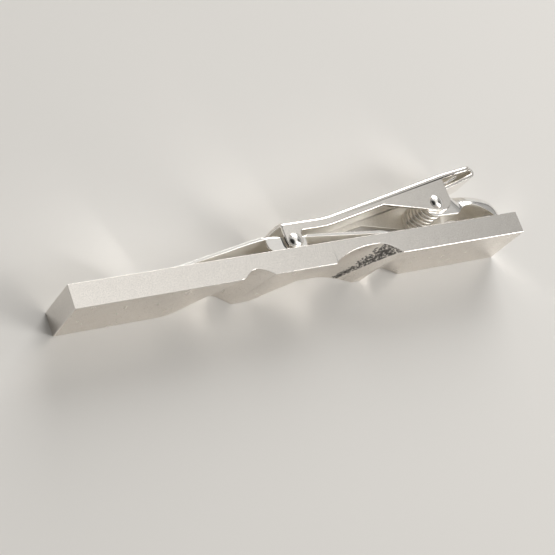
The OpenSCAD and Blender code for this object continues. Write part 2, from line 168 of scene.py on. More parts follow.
def groove_depth(x_share, number, up_share):
    """Depth of one groove at a place on the front: in along one flank and out along the other."""
    if up_share > groove_end_shares[number]:
        return 0
    up = up_share / groove_end_shares[number]
    near, near_end, far_start, far = between(groove_low_shares[number], groove_top_shares[number], up)
    near_power, far_power = between(flank_low_powers[number], flank_top_powers[number], up)
    low_depth, top_depth = groove_depths[number]
    going_in = min(1, max(0, (x_share - near) / (near_end - near)))
    going_out = min(1, max(0, (far - x_share) / (far - far_start)))
    hollow = min(math.sin(math.pi / 2 * going_in) ** near_power,
                 math.sin(math.pi / 2 * going_out) ** far_power)
    return (low_depth + (top_depth - low_depth) * up) * hollow


print("second groove is", round(groove_depth(0.55, 1, 0), 2), "mm deep at the lower edge")

# %% Rows and columns of the front
plain_columns = 6
groove_columns = 44
hammered_columns = 84
bar_rows = 96
rim_r = 0.08
rim_steps = 5


def spread(start, end, count):
    """Evenly spaced values from start to end."""
    return [start + (end - start) * i / count for i in range(count + 1)]


# How far in from the border, and how far back, the rounded rim is at each of its steps
rim = [(rim_r * (1 - math.sin(a)), rim_r * (1 - math.cos(a))) for a in spread(math.pi / 2, 0, rim_steps)]
rim_share = rim_r / bar_l

# Columns that follow an edge or a crease: their shares of the bar's length at its lower and upper
# edge, and the number of columns from the one before
column_keys = [
    (rim_share, rim_share, 0),
    (0.207, 0.329, plain_columns),
    (0.363, 0.403, groove_columns),
    (0.397, 0.538, plain_columns),
    (0.550, 0.642, groove_columns),
    (0.638, 0.694, hammered_columns),
    (0.658, 0.700, plain_columns),
    (0.752, 0.746, groove_columns),
    (1 - rim_share, 1 - rim_share, 2 * plain_columns)]
columns = [(inward / bar_l, inward / bar_l, back) for inward, back in rim]
for before, after in zip(column_keys, column_keys[1:]):
    for share in spread(0, 1, after[2])[1:]:
        columns.append(tuple(between(before[:2], after[:2], share)) + (0,))
columns += [(1 - inward / bar_l, 1 - inward / bar_l, back) for inward, back in rim[-2::-1]]
rows = [(inward / bar_w, back) for inward, back in rim]
rows += [(share, 0) for share in spread(rim_r / bar_w, 1 - rim_r / bar_w, bar_rows)[1:-1]]
rows += [(1 - inward / bar_w, back) for inward, back in reversed(rim)]
row_length = len(columns)
print("front of", row_length, "columns and", len(rows), "rows")

# %% Carve the front
bpy.ops.object.select_all(action="DESELECT")
bpy.ops.mesh.primitive_grid_add(x_subdivisions=row_length - 1, y_subdivisions=len(rows) - 1, size=MM)
bar = bpy.context.object
bar.name = "carved_bar"
bar.data.name = "carved_bar"
places = np.zeros((len(bar.data.vertices), 3))
for row, (up_share, back) in enumerate(rows):
    for column, (low, top, end_back) in enumerate(columns):
        x_share = low + (top - low) * up_share
        depth = sum(groove_depth(x_share, number, up_share) for number in range(len(groove_depths)))
        depth += back + end_back
        places[row * row_length + column] = (
            bar_low.x + bar_l * x_share, bar_low.y + depth, bar_low.z + bar_w * up_share)
on_rim = np.array([back > 0 or end_back > 0 for _, back in rows for _, _, end_back in columns])
print("carved to", round(places[:, 1].max() - bar_low.y, 2), "mm")

# %% [markdown]
# ## Hammering the groove
#
# On the real bar the far flank of the second groove has a band of small pits, dark in their depths
# and bright on their rims. The band is crisp at its lower border and fades at its upper one. A bump
# in the material would look flat at its edge, so the pits are pressed into the mesh. Each is one
# blow of a punch that was held aslant: its place is drawn from a seeded random generator, and the
# front is pushed in under it. How deep a point is in its pit is kept as an attribute, which the
# metal reads later to paint shade into the pits, darker the deeper they are.

# %% Where the band is
band_start_share = 0.34
band_start_power = 0.75
band_end_share = 0.50
band_top_share = 0.80
band_edge_share = 0.02
band_fullness = 1.6


def band_strength(x_share, up_share):
    """How thickly a place is hammered: 1 at the band's crisp lower border, fading to 0 at the upper."""
    _, _, far_start, far = between(groove_low_shares[1], groove_top_shares[1], up_share)
    inward = (far - x_share) / (far - far_start)
    start = band_start_share * (1 - up_share) ** band_start_power
    end = band_end_share + (band_top_share - band_end_share) * up_share ** 2
    if inward < start or inward > end:
        return 0
    return min(1, (inward - start) / band_edge_share, band_fullness * (end - inward) / (end - start))


strengths = np.zeros(len(places))
for row, (up_share, _) in enumerate(rows):
    for column, (low, top, _) in enumerate(columns):
        strengths[row * row_length + column] = band_strength(low + (top - low) * up_share, up_share)
in_band = np.flatnonzero(strengths > 0)
print("band of", len(in_band), "points")

# %% Hammer the band
blow_radii = (0.08, 0.16)
blow_depth = 0.06
blow_forces = (0.6, 1)
blow_spacing = 0.14
blow_stretch = 0.62
blow_seed = 7
band_points = places[in_band]
along_band = Vector((bar_l * (groove_top_shares[1][3] - groove_low_shares[1][3]), 0, bar_w)).normalized()


def blow_distance(points, centre):
    """Distance from a blow's centre, shortened along the band, because the punch was held aslant."""
    offset = points - centre
    along = offset @ np.array(along_band)
    return np.sqrt(np.maximum(0, (offset ** 2).sum(axis=-1) - (1 - blow_stretch ** 2) * along ** 2))


random = np.random.default_rng(blow_seed)
blows = []
for candidate in random.permutation(len(in_band)):
    place = band_points[candidate]
    if random.random() < strengths[in_band[candidate]] ** 2:
        if not blows or blow_distance(np.array(blows), place).min() > blow_spacing:
            blows.append(place)
pits = np.zeros(len(places))
for place in blows:
    radius = random.uniform(*blow_radii)
    hit = np.clip(1 - (blow_distance(band_points, place) / radius) ** 2, 0, 1)
    pits[in_band] = np.maximum(pits[in_band], hit * random.uniform(*blow_forces))
places[:, 1] += np.where(on_rim, 0, pits * blow_depth)
bar.data.vertices.foreach_set("co", (places * MM).ravel())
pit_attribute = bar.data.attributes.new("pit", "FLOAT", "POINT")
pit_attribute.data.foreach_set("value", pits.astype(np.float32))
print("hammered with", len(blows), "blows")

# %% [markdown]
# ## Closing the bar
#
# The carved front is one sheet of faces so far. Its border is extruded and flattened onto the plane
# of the bar's back, and the back is filled. The bar has three finishes, so it gets three slots: its
# sides and rim were drawn smooth, its front was worked, and its back gets the lighter matt silver
# of the inner faces, painted light for the shaded slot behind the bar. Bevels come last, because a
# real edge is never quite sharp, and it is the bevel that catches the light.

# %% Select and soften
bevel_segments = 3
smooth_angle = math.radians(40)


def select_only(piece):
    """Makes a piece the active and only selected object."""
    bpy.ops.object.select_all(action="DESELECT")
    piece.select_set(True)
    bpy.context.view_layer.objects.active = piece


def soften(piece, width, limit=50):
    """Bevels the edges that are sharper than the limit, in degrees, then shades the rest smooth."""
    select_only(piece)
    # In metres the small faces' areas are too small to weigh, so this is done in millimetres
    piece.data.transform(Matrix.Scale(1 / MM, 4))
    if width:
        bpy.ops.object.modifier_add(type="BEVEL")
        bevel = piece.modifiers[-1]
        bevel.width = width
        bevel.segments = bevel_segments
        bevel.limit_method = "ANGLE"
        bevel.angle_limit = math.radians(limit)
        bevel.use_clamp_overlap = False
        bpy.ops.object.modifier_apply(modifier=bevel.name)
    bpy.ops.object.shade_smooth_by_angle(angle=smooth_angle)
    bpy.ops.object.modifier_add(type="WEIGHTED_NORMAL")
    weighted = piece.modifiers[-1]
    weighted.keep_sharp = True
    bpy.ops.object.modifier_apply(modifier=weighted.name)
    piece.data.transform(Matrix.Scale(MM, 4))
    print(piece.name, "has", len(piece.data.polygons), "faces")
    return piece


# %% Close the bar
bar_bevel = 0.02
bar_bevel_limit = 52
back_slot = 2
select_only(bar)
carved_faces = np.array([not any(on_rim[face.vertices]) for face in bar.data.polygons])
bpy.ops.object.mode_set(mode="EDIT")
bpy.ops.mesh.select_all(action="SELECT")
bpy.ops.mesh.region_to_loop()
bpy.ops.mesh.extrude_edges_move()
mesh = bmesh.from_edit_mesh(bar.data)
for vert in mesh.verts:
    if vert.select:
        vert.co.y = back_y * MM
bmesh.update_edit_mesh(bar.data)
bpy.ops.mesh.edge_face_add()
bpy.ops.mesh.select_all(action="SELECT")
bpy.ops.mesh.normals_make_consistent(inside=False)
bpy.ops.object.mode_set(mode="OBJECT")

# The third finish is a lighter, warmer silver: painted light for the shaded inner faces and the back
drawn_silver, punched_silver, lightened_inner_silver = (
    bpy.data.materials.new(name) for name in ("drawn_silver", "punched_silver", "lightened_inner_silver"))
for material in (drawn_silver, punched_silver, lightened_inner_silver):
    bar.data.materials.append(material)
slots = np.zeros(len(bar.data.polygons), np.int32)
slots[:len(carved_faces)] = carved_faces
# The bar's back gets the lighter inner silver, which is painted light
slots[-1] = back_slot
bar.data.polygons.foreach_set("material_index", slots)
soften(bar, bar_bevel, bar_bevel_limit)

# %% [markdown]
# ## Working with sheet
#
# Every other piece here is sheet or wire. A sheet that changes along its length is lofted: a face is
# added, and extruded from one section to the next. A flat wall is a face with the wall's outline,
# extruded once. Pieces that are one sheet are joined and welded, and the faces that the weld buries
# are deleted, so the light runs over the seam as it does over pressed metal.

# %% Loft, cut and weld
weld_reach = 0.002 * MM


def loft(name, rings, open_ends=()):
    """Extrudes a face through rings of points. Ends named in open_ends lose their face."""
    bpy.ops.object.select_all(action="DESELECT")
    bpy.ops.mesh.primitive_circle_add(vertices=len(rings[0]), radius=MM, fill_type="NGON")
    piece = bpy.context.object
    piece.name = name
    piece.data.name = name
    bpy.ops.object.mode_set(mode="EDIT")
    for number, ring in enumerate(rings):
        if number:
            bpy.ops.mesh.extrude_region_move()
        mesh = bmesh.from_edit_mesh(piece.data)
        mesh.faces.ensure_lookup_table()
        end = next(face for face in reversed(mesh.faces) if face.select)
        for vert, place in zip(end.verts, ring):
            vert.co = place
    if "last" in open_ends:
        bpy.ops.mesh.delete(type="ONLY_FACE")
    if "first" in open_ends:
        mesh = bmesh.from_edit_mesh(piece.data)
        mesh.faces.ensure_lookup_table()
        mesh.faces[0].select = True
        bpy.ops.mesh.delete(type="ONLY_FACE")
    bpy.ops.object.mode_set(mode="OBJECT")
    return piece


def plate(name, outline, w_from, w_to):
    """A flat wall with an outline in side view, between two places across the clip."""
    return loft(name, [[on_back(x, h, w) for x, h in outline] for w in (w_from, w_to)])


def weld(pieces, buried=None):
    """Joins pieces into the first, merges what touches and deletes the faces that are buried."""
    select_only(pieces[0])
    for piece in pieces[1:]:
        piece.select_set(True)
    if pieces[1:]:
        bpy.ops.object.join()
    piece = bpy.context.object
    bpy.ops.object.mode_set(mode="EDIT")
    bpy.ops.mesh.select_all(action="SELECT")
    bpy.ops.mesh.remove_doubles(threshold=weld_reach)
    if buried:
        bpy.ops.mesh.select_all(action="DESELECT")
        mesh = bmesh.from_edit_mesh(piece.data)
        for face in mesh.faces:
            face.select = buried(face.calc_center_median() / MM, face.normal)
        bmesh.update_edit_mesh(piece.data)
        bpy.ops.mesh.delete(type="ONLY_FACE")
    bpy.ops.mesh.select_all(action="SELECT")
    bpy.ops.mesh.normals_make_consistent(inside=False)
    bpy.ops.object.mode_set(mode="OBJECT")
    return piece


# %% Lines and sections of sheet
def arc(centre, radius, start, end, steps):
    """Points of an arc in side view, between two angles in degrees."""
    return [(centre[0] + radius * math.cos(math.radians(a)), centre[1] + radius * math.sin(math.radians(a)))
            for a in spread(start, end, steps)]


def ramp(u, soft):
    """A soft step from level to a slope of one."""
    if u <= -soft:
        return 0
    return u if u >= soft else (u + soft) ** 2 / (4 * soft)


def stations(start, stops):
    """Places along a piece, through stops that each have a place and the number of steps to it."""
    found = [start]
    for stop, steps in stops:
        found += spread(start, stop, steps)[1:]
        start = stop
    return found


def sheet_section(half, thick, depth, radius, corner, turn, inner_turn, flat_steps):
    """A section of bent sheet as (w, n) points, n from its top: over its back, then back below it."""
    flat = half - radius
    inner = half - thick
    bend = inner - corner
    over = [(-flat - radius * math.cos(a), -radius + radius * math.sin(a)) for a in turn]
    over += [(w, 0) for w in spread(-flat, flat, flat_steps)[1:-1]]
    over += [(flat + radius * math.sin(a), -radius + radius * math.cos(a)) for a in turn]
    below = [(bend + corner * math.cos(a), -thick - corner + corner * math.sin(a)) for a in inner_turn]
    below += [(w, -thick) for w in spread(bend, -bend, flat_steps)[1:-1]]
    below += [(-bend - corner * math.sin(a), -thick - corner + corner * math.cos(a)) for a in inner_turn]
    return [(-half, -depth)] + over + [(half, -depth), (inner, -depth)] + below + [(-inner, -depth)]


# %% [markdown]
# ## The lever
#
# The lever is one piece of sheet, pressed into a channel: ears for the rocker pin, a crowned arm,
# two lobes that ride on the main pin, and a thumb tab whose end is folded under as a tongue. The
# crowned back is lofted through sections, on round the fold, and down the tongue. The two walls are
# flat plates that share the back's seam, so they weld into one sheet.

# %% Lines of the lever
lever_half = 3.05
sheet_t = 0.45
shoulder_r = 0.32
tip_r = 0.12
inner_r = 0.08
crown = 0.22
seam_d = 0.55
arm_over_pin = 2.28
bend_x = rocker_pin[0] + 4.9
bend_half = 1.2
arm_angle = math.radians(10.2)
tab_angle = math.radians(7)
arm_wall_d = 1.2
ear_r = 1.12
ear_lift = 0.2
ear_fillet_r = 0.4
lobe_r = 1.55
lobe_at = (main_pin[0] + 0.7, main_pin[1] + 0.28)
lobe_reach = 7.5
lobe_end_x = lobe_at[0] + lobe_r
tab_soft = 0.6
lip_d = 0.66
lip_fillet_r = 0.15
fold_r = 0.66
tab_reach = 8.1
fold_x = main_pin[0] + tab_reach - fold_r
tab_corner_r = 1.0
tongue_half = 2.1
tongue_angle = math.radians(13.8)
tab_gap = 0.75
ear_x = rocker_pin[0] - ear_r
corner_x = fold_x - tab_corner_r


def lever_top(x):
    """Height of the lever's shoulders: level to the bend, then rising to the tab."""
    fall = math.tan(arm_angle) - math.tan(tab_angle)
    return (rocker_pin[1] + arm_over_pin + math.tan(arm_angle) * ramp(x - bend_x, bend_half)
            - fall * ramp(x - lobe_end_x, tab_soft))


print("shoulders from", round(lever_top(ear_x), 2), "to", round(lever_top(fold_x), 2), "mm over the back")

# %% Section of the lever
across_steps = 12
shoulder_turn = spread(0, math.pi / 2, 6)
inner_turn = spread(0, math.pi / 2, 3)


def section(half, radius, rise, depth):
    """The lever's section: walls down to a depth, and a back that rises in a crown."""
    corner = min(inner_r, depth - sheet_t) if depth > sheet_t else 0
    points = sheet_section(half, sheet_t, depth, radius, corner, shoulder_turn, inner_turn, across_steps)
    return [(w, n + (rise * (1 - (w / lever_half) ** 2) if n > -depth else 0)) for w, n in points]


print("section of", len(section(lever_half, shoulder_r, crown, seam_d)), "points")

# %% Back, fold and tongue of the lever
tab_corner_steps = 8
fold_steps = 14
tongue_steps = 4
ear_xs = [ear_x] + [x for x, _ in arc((ear_x + ear_r, 0), ear_r, 180, 360, steps=12)[1:]]
wall_xs = ear_xs + stations(ear_xs[-1], [
    (bend_x - bend_half, 3), (bend_x + bend_half, 10), (lobe_end_x - tab_soft, 8),
    (lobe_end_x + tab_soft, 6), (corner_x, 4)])[1:]
rings = []
for x in wall_xs:
    fade = min(1, (fold_x - x) / (fold_x - lobe_end_x))
    rings.append([on_back(x, lever_top(x) + n, w)
                  for w, n in section(lever_half, shoulder_r, crown * fade, seam_d)])
# Round the tab's corners, while the shoulders sharpen and the walls run out
for turn_share in spread(0, 1, tab_corner_steps)[1:]:
    x = corner_x + tab_corner_r * math.sin(math.pi / 2 * turn_share)
    half = lever_half - tab_corner_r + tab_corner_r * math.cos(math.pi / 2 * turn_share)
    half = max(half, tongue_half)
    radius = shoulder_r + (tip_r - shoulder_r) * turn_share
    depth = seam_d + (sheet_t - seam_d) * min(1, 2 * turn_share)
    fade = (fold_x - x) / (fold_x - lobe_end_x)
    rings.append([on_back(x, lever_top(x) + n, w) for w, n in section(half, radius, crown * fade, depth)])
# Round the fold, then back along the tongue
fold_at = (fold_x + fold_r * math.sin(tab_angle), lever_top(fold_x) - fold_r * math.cos(tab_angle))
fold_turn = math.pi - tongue_angle + tab_angle
flat_section = section(tongue_half, tip_r, 0, sheet_t)
for turn_share in spread(0, 1, fold_steps)[1:]:
    a = math.pi / 2 + tab_angle - fold_turn * turn_share
    rings.append([on_back(fold_at[0] + (fold_r + n) * math.cos(a), fold_at[1] + (fold_r + n) * math.sin(a), w)
                  for w, n in flat_section])
tongue_out = (math.sin(tongue_angle), -math.cos(tongue_angle))
tongue_l = (fold_at[0] + fold_r * tongue_out[0] - lobe_end_x - tab_gap) / math.cos(tongue_angle)
for along in spread(0, tongue_l, tongue_steps)[1:]:
    rings.append([on_back(fold_at[0] + (fold_r + n) * tongue_out[0] - along * math.cos(tongue_angle),
                          fold_at[1] + (fold_r + n) * tongue_out[1] - along * math.sin(tongue_angle), w)
                  for w, n in flat_section])
lever = loft("pressed_lever", rings)
print("lever of", len(rings), "sections")

# %% Outline of the lever's walls
def tangent_point(start, centre, radius):
    """Lower point where the line from start touches a circle."""
    across, up = centre[0] - start[0], centre[1] - start[1]
    far = math.hypot(across, up)
    a = math.atan2(up, across) - math.asin(radius / far)
    reach = math.sqrt(far ** 2 - radius ** 2)
    return (start[0] + reach * math.cos(a), start[1] + reach * math.sin(a))


ear_at = (rocker_pin[0], rocker_pin[1] + ear_lift)
fillet_at = (ear_at[0] + ear_r + ear_fillet_r, lever_top(ear_x) - arm_wall_d - ear_fillet_r)
lobe_start_x = main_pin[0] - lobe_reach
lobe_start = (lobe_start_x, lever_top(lobe_start_x) - arm_wall_d)
touch = tangent_point(lobe_start, lobe_at, lobe_r)
touch_angle = math.degrees(math.atan2(touch[1] - lobe_at[1], touch[0] - lobe_at[0]))
lip_at = (lobe_end_x + lip_fillet_r, lever_top(lobe_end_x) - lip_d - lip_fillet_r)
outline = arc(ear_at, ear_r, 180, 360, steps=18)
outline += arc(fillet_at, ear_fillet_r, 180, 90, steps=6)
outline += [(x, lever_top(x) - arm_wall_d) for x in spread(bend_x - bend_half, bend_x + bend_half, 8)]
outline += [lobe_start] + arc(lobe_at, lobe_r, touch_angle, 0, steps=16)
outline += arc(lip_at, lip_fillet_r, 180, 90, steps=4)
outline += [(x, lever_top(x) - lip_d) for x in spread(lobe_end_x + tab_soft, corner_x, 2)]
outline += [(x, lever_top(x) - seam_d) for x in reversed(wall_xs)]
print("wall of", len(outline), "points")

# %% Weld the walls to the back
lever_bevel = 0.12
seam_reach = 0.02
walls = [plate("wall", outline, side * lever_half, side * (lever_half - sheet_t)) for side in (-1, 1)]


def on_lever_seam(centre, _):
    """Faces that lie on the seam between a wall and the back."""
    above_seam = centre.y - back_y - lever_top(centre.x) + seam_d
    off_wall = abs(centre.z - mid_z) - lever_half + sheet_t / 2
    return centre.x < corner_x and abs(above_seam) < seam_reach and abs(off_wall) < seam_reach


lever = weld([lever] + walls, on_lever_seam)
soften(lever, lever_bevel)

# %% [markdown]
# ## The rocker strip
#
# The strip is the sprung leaf that grips the tie. It rises from its flat tip to a crest, falls again
# under the arm and curls down at its other tip. Beside its pin its edges are bent down into two
# flanges, so its back is lofted with edges that grow round there, and the flanges are plates.

# %% Line of the strip
strip_half = 2.5
strip_t = 0.35
strip_left = 18.4
strip_right = 13.4
strip_foot = 2.8
strip_fall = math.tan(math.radians(5.7))
tip_fall = math.tan(math.radians(22))
crest_half = 1.6
foot_half = 1.2
curl_half = 0.4
rest_gap = 0.04
rocker_shaft_r = 0.4
strip_over_pin = 0.15
crest_from_pin = 3.5
foot_x = rocker_pin[0] - strip_left + strip_foot
crest_x = rocker_pin[0] - crest_from_pin
tip_x = rocker_pin[0] + strip_right
foot_h = strip_t + rest_gap
crest_h = rocker_pin[1] + rocker_shaft_r + strip_over_pin + strip_t + crest_from_pin * strip_fall
tip_h = rest_gap + strip_t * math.cos(math.atan(tip_fall))
curl_x = tip_x - (crest_h - (tip_x - crest_x) * strip_fall - tip_h) / (tip_fall - strip_fall)
strip_rise = (crest_h - foot_h) / (crest_x - foot_x)


def strip_top(x):
    """Height of the strip's upper face."""
    return (foot_h + strip_rise * ramp(x - foot_x, foot_half)
            - (strip_rise + strip_fall) * ramp(x - crest_x, crest_half)
            - (tip_fall - strip_fall) * ramp(x - curl_x, curl_half))


print("strip's crest is", round(strip_top(crest_x), 2), "mm over the back")

# %% Section of the strip
saddle_left = rocker_pin[0] - 3.4
saddle_right = rocker_pin[0] + 1.75
saddle_seam = 0.42
saddle_ease = 0.5
saddle_fillet_r = 0.05
bend_r = 0.3
flat_r = 0.02
strip_steps = 8


def strip_section(x):
    """The strip's section at x: square edged, with shoulders where the flanges hang."""
    reach = max(saddle_left - x, x - saddle_right, 0)
    in_saddle = reach == 0
    radius = flat_r + (bend_r - flat_r) * max(0, 1 - reach / saddle_ease)
    depth = strip_t + (saddle_seam - strip_t) * in_saddle
    corner = saddle_fillet_r * in_saddle
    turn = spread(0, math.pi / 2, 5)
    return sheet_section(strip_half, strip_t, depth, radius, corner, turn, turn[::2], strip_steps)


print("saddle of", round(saddle_right - saddle_left, 2), "mm")

# %% Loft the strip and its flanges
saddle_rise = 0.3
saddle_step = 0.02
left_r = 1.0
right_r = 0.5
strip_bevel = 0.045
thin_bevel_limit = 60
strip_seam_reach = 0.015
saddle_xs = spread(saddle_left, saddle_right, 14)
strip_xs = stations(rocker_pin[0] - strip_left, [
    (foot_x - foot_half, 1), (foot_x + foot_half, 8), (saddle_left - saddle_ease, 6),
    (saddle_left - saddle_step, 4)])
strip_xs += saddle_xs + stations(saddle_right + saddle_step, [
    (saddle_right + saddle_ease, 4), (curl_x - curl_half, 5), (curl_x + curl_half, 6), (tip_x, 1)])
rings = [[on_back(x, strip_top(x) + n, w) for w, n in strip_section(x)] for x in strip_xs]
strip = loft("rocker_leaf", rings)

outline = arc((saddle_left + left_r, saddle_rise + left_r), left_r, 180, 270, steps=8)
outline += arc((saddle_right - right_r, saddle_rise + right_r), right_r, 270, 360, steps=6)
outline += [(x, strip_top(x) - saddle_seam) for x in reversed(saddle_xs)]
flanges = [plate("flange", outline, side * strip_half, side * (strip_half - strip_t)) for side in (-1, 1)]


def on_strip_seam(centre, _):
    """Faces that lie on the seam between a flange and the strip."""
    above_seam = centre.y - back_y - strip_top(centre.x) + saddle_seam
    off_flange = abs(centre.z - mid_z) - strip_half + strip_t / 2
    in_reach = abs(above_seam) < strip_seam_reach and abs(off_flange) < seam_reach
    return saddle_left < centre.x < saddle_right and in_reach


strip = weld([strip] + flanges, on_strip_seam)
soften(strip, strip_bevel, thin_bevel_limit)

# %% [markdown]
# ## The hinge bracket
#
# The bracket is a pressed hood, soldered to the bar, with two ears for the main pin. Its mouth is
# arched so that light and the tie's edge pass under it. The hood's sections are rounded squares that
# sink and narrow to the tip, and each starts at the arch's height. The arms are lofted from the
# hood's open edge to the ears, and the ears are plates.

# %% Lines of the bracket
ear_gap = 0.05
bracket_half = lever_half - sheet_t - ear_gap
bracket_t = 0.4
ear_big_r = 1.65
ear_shoulder = 0.03
hood_rise = 4.22
hood_x = main_pin[0] + 3.8
hood_tip_x = main_pin[0] + 10.05
hood_fall_x = main_pin[0] + 4.3
hood_narrow_x = main_pin[0] + 8.2
hood_power = 2.4
round_power = 2.5
ear_end_x = main_pin[0] + ear_big_r
wall_rise = main_pin[1] + ear_big_r + ear_shoulder
neck_rise = 0.3
neck_h = main_pin[1] + neck_rise
mouth_x = main_pin[0] + 5.2
mouth_half = 3.25
mouth_rise = 2.42
foot_rise = 1.35
arm_overlap = 1


def hood_half(x, inset):
    """Half width of the hood, or of its inner face."""
    t = max(0, (x - hood_narrow_x) / (hood_tip_x - inset - hood_narrow_x))
    return (bracket_half - inset) * math.sqrt(max(0, 1 - t ** 2))


def hood_top(x, inset):
    """Height of the hood, or of its inner face."""
    t = min(1, max(0, (x - hood_fall_x) / (hood_tip_x - inset - hood_fall_x)))
    return (hood_rise - inset) * (1 - t ** hood_power) ** (1 / hood_power)


def mouth_h(x):
    """Height of the mouth's arch, or of the arms' lower edge before it."""
    ear_low = main_pin[1] - ear_big_r
    arm = ear_low + (foot_rise - ear_low) * (x - main_pin[0]) / (mouth_x - main_pin[0])
    arch = mouth_rise * (1 - ((x - mouth_x) / mouth_half) ** 2)
    return max(arch, arm if x < mouth_x - arm_overlap else 0)


def arm_top(x):
    """Height of the arms' upper edge, from the ears to the hood."""
    return neck_h + (hood_rise - neck_h) * (x - ear_end_x) / (hood_x - ear_end_x)


print("hood of", round(hood_tip_x - hood_x, 2), "mm, mouth", round(mouth_h(mouth_x), 2), "mm high")

# %% Skins of the bracket
around_steps = 28
half_steps = around_steps // 2


def skin_w(x, h, inset):
    """How far out the bracket's skin is at a height: upright at the ears, rounded at the hood."""
    upright = min(1, max(0, (hood_x - x) / (hood_x - ear_end_x)))
    wall = wall_rise * upright
    rise = hood_top(x, inset) * (1 - upright) + upright
    t = min(1, max(0, (h - wall) / rise))
    return hood_half(x, inset) * (1 - t ** round_power) ** (1 / round_power)


def hood_arch(x, inset, low):
    """One skin of the hood's section, from its lower edge on one side over to the other."""
    top, half = hood_top(x, inset), hood_half(x, inset)
    start = math.asin(min(1, (low / top) ** (round_power / 2))) if low < top else math.pi / 2
    points = []
    for a in spread(start, math.pi - start, around_steps):
        side = math.copysign(abs(math.cos(a)) ** (2 / round_power), -math.cos(a))
        points.append((top * math.sin(a) ** (2 / round_power), half * side))
    return points


print("hood section of", 2 * len(hood_arch(hood_x, 0, mouth_h(hood_x))), "points")

# %% Loft the hood
tip_cap = 0.42
tip_turn = 88
tip_steps = 8
mouth_end_x = mouth_x + mouth_half
hood_xs = stations(hood_x, [(mouth_end_x, 14)])
hood_xs += [mouth_end_x + (hood_tip_x - tip_cap - mouth_x - mouth_half) * math.sin(math.radians(a))
            for a in spread(0, tip_turn, tip_steps)[1:]]
rings = []
for x in hood_xs:
    outer, inner = (hood_arch(x, inset, mouth_h(x)) for inset in (0, bracket_t))
    rings.append([on_back(x, h, w) for h, w in outer + inner[::-1]])
hood = loft("soldered_hood", rings, open_ends=("first",))
print("hood of", len(rings), "sections")

# %% Arms and ears of the bracket
bracket_bevel = 0.05
ear_cut = 8
ear_from = math.degrees(math.asin(neck_rise / ear_big_r)) + ear_cut
arm_steps = 8
ear_seam_reach = 0.01
facing_share = 0.9
skins = [(hood_arch(hood_x, inset, mouth_h(hood_x)), inset, order)
         for inset, order in ((0, 1), (bracket_t, -1))]


def edge_heights(edge, low, top):
    """Heights from low to top, spaced as the points of the hood's open edge are."""
    edge_low, edge_top = edge[0][0], edge[half_steps][0]
    return [low + (top - low) * ((h - edge_low) / (edge_top - edge_low)) for h, _ in edge[:half_steps + 1]]


parts = [hood]
for side in (-1, 1):
    rings = []
    for x in spread(ear_end_x, hood_x, arm_steps):
        ring = []
        for edge, inset, order in skins:
            top = arm_top(x) - inset * (x - ear_end_x) / (hood_x - ear_end_x)
            heights = edge_heights(edge, mouth_h(x), top)[::order]
            ring += [on_back(x, h, side * skin_w(x, h, inset)) for h in heights]
        rings.append(ring)
    parts.append(loft("arm", rings, open_ends=("first", "last")))
    ear = arc(main_pin, ear_big_r, ear_from, 270, steps=24)
    rims = []
    for edge, inset, _ in skins:
        rim_points = ear + [(ear_end_x, h) for h in edge_heights(edge, mouth_h(ear_end_x), neck_h)]
        rims.append([on_back(x, h, side * (bracket_half - inset)) for x, h in rim_points])
    parts.append(loft("ear", rims))


def at_ear_end(centre, normal):
    """Faces that lie on the seam between an ear and its arm."""
    return abs(centre.x - ear_end_x) < ear_seam_reach and abs(normal.x) > facing_share


bracket = weld(parts, at_ear_end)
soften(bracket, bracket_bevel, thin_bevel_limit)

# %% [markdown]
# ## The two pins
#
# Each pin is a rivet: a shaft across the clip with a domed head on each side. It is lofted through
# circles, whose radii follow the dome, so the head and the shaft are one turned piece. The foot of
# the dome has a small rounded rim, which draws the bright ring round the head.

# %% Turn the pins
head_r = 0.84
head_h = 0.36
head_gap = 0.03
rim_h = 0.07
main_shaft_r = 0.5
pin_sides = 48
dome_steps = 10
# The head's rim, from the lever's wall out: how much smaller it is than the head, and how high
rim_profile = [(0.06, 0), (0.015, 0.012), (0, rim_h / 2), (0.012, rim_h)]
dome_inset = 0.03
dome_tip_angle = 0.02


def turned(name, at, profile):
    """A turned piece across the clip, from a profile of (radius, place across) points."""
    angles = spread(0, 2 * math.pi, pin_sides)[:-1]
    return loft(name, [[on_back(at[0] + r * math.cos(a), at[1] + r * math.sin(a), w) for a in angles]
                       for r, w in profile])


def rivet(name, at, shaft_r):
    """A rivet with two domed heads."""
    end = lever_half + head_gap
    head = [(head_r - smaller, w) for smaller, w in rim_profile]
    dome_h = head_h - rim_h
    dome_r = (head_r ** 2 + dome_h ** 2) / (2 * dome_h)
    steep = math.asin((head_r - dome_inset) / dome_r)
    for a in spread(steep, dome_tip_angle, dome_steps):
        head.append((dome_r * math.sin(a), rim_h + dome_h - dome_r * (1 - math.cos(a))))
    profile = [(r, -end - w) for r, w in reversed(head)] + [(shaft_r, -end)]
    profile += [(shaft_r, end)] + [(r, end + w) for r, w in head]
    return soften(weld([turned(name, at, profile)]), 0)


hinge_rivet = rivet("hinge_rivet", main_pin, main_shaft_r)
rocker_rivet = rivet("rocker_rivet", rocker_pin, rocker_shaft_r)

# %% [markdown]
# ## The spring
#
# A wound wire pushes the tab up and the strip down. Its path is a straight leg under the tongue, a
# helix round the main pin and a straight leg on the bar, each tangent to the next. A curve with a
# round bevel could make it too, but a section that is carried along the path in code stays exact
# where the legs leave the coil.

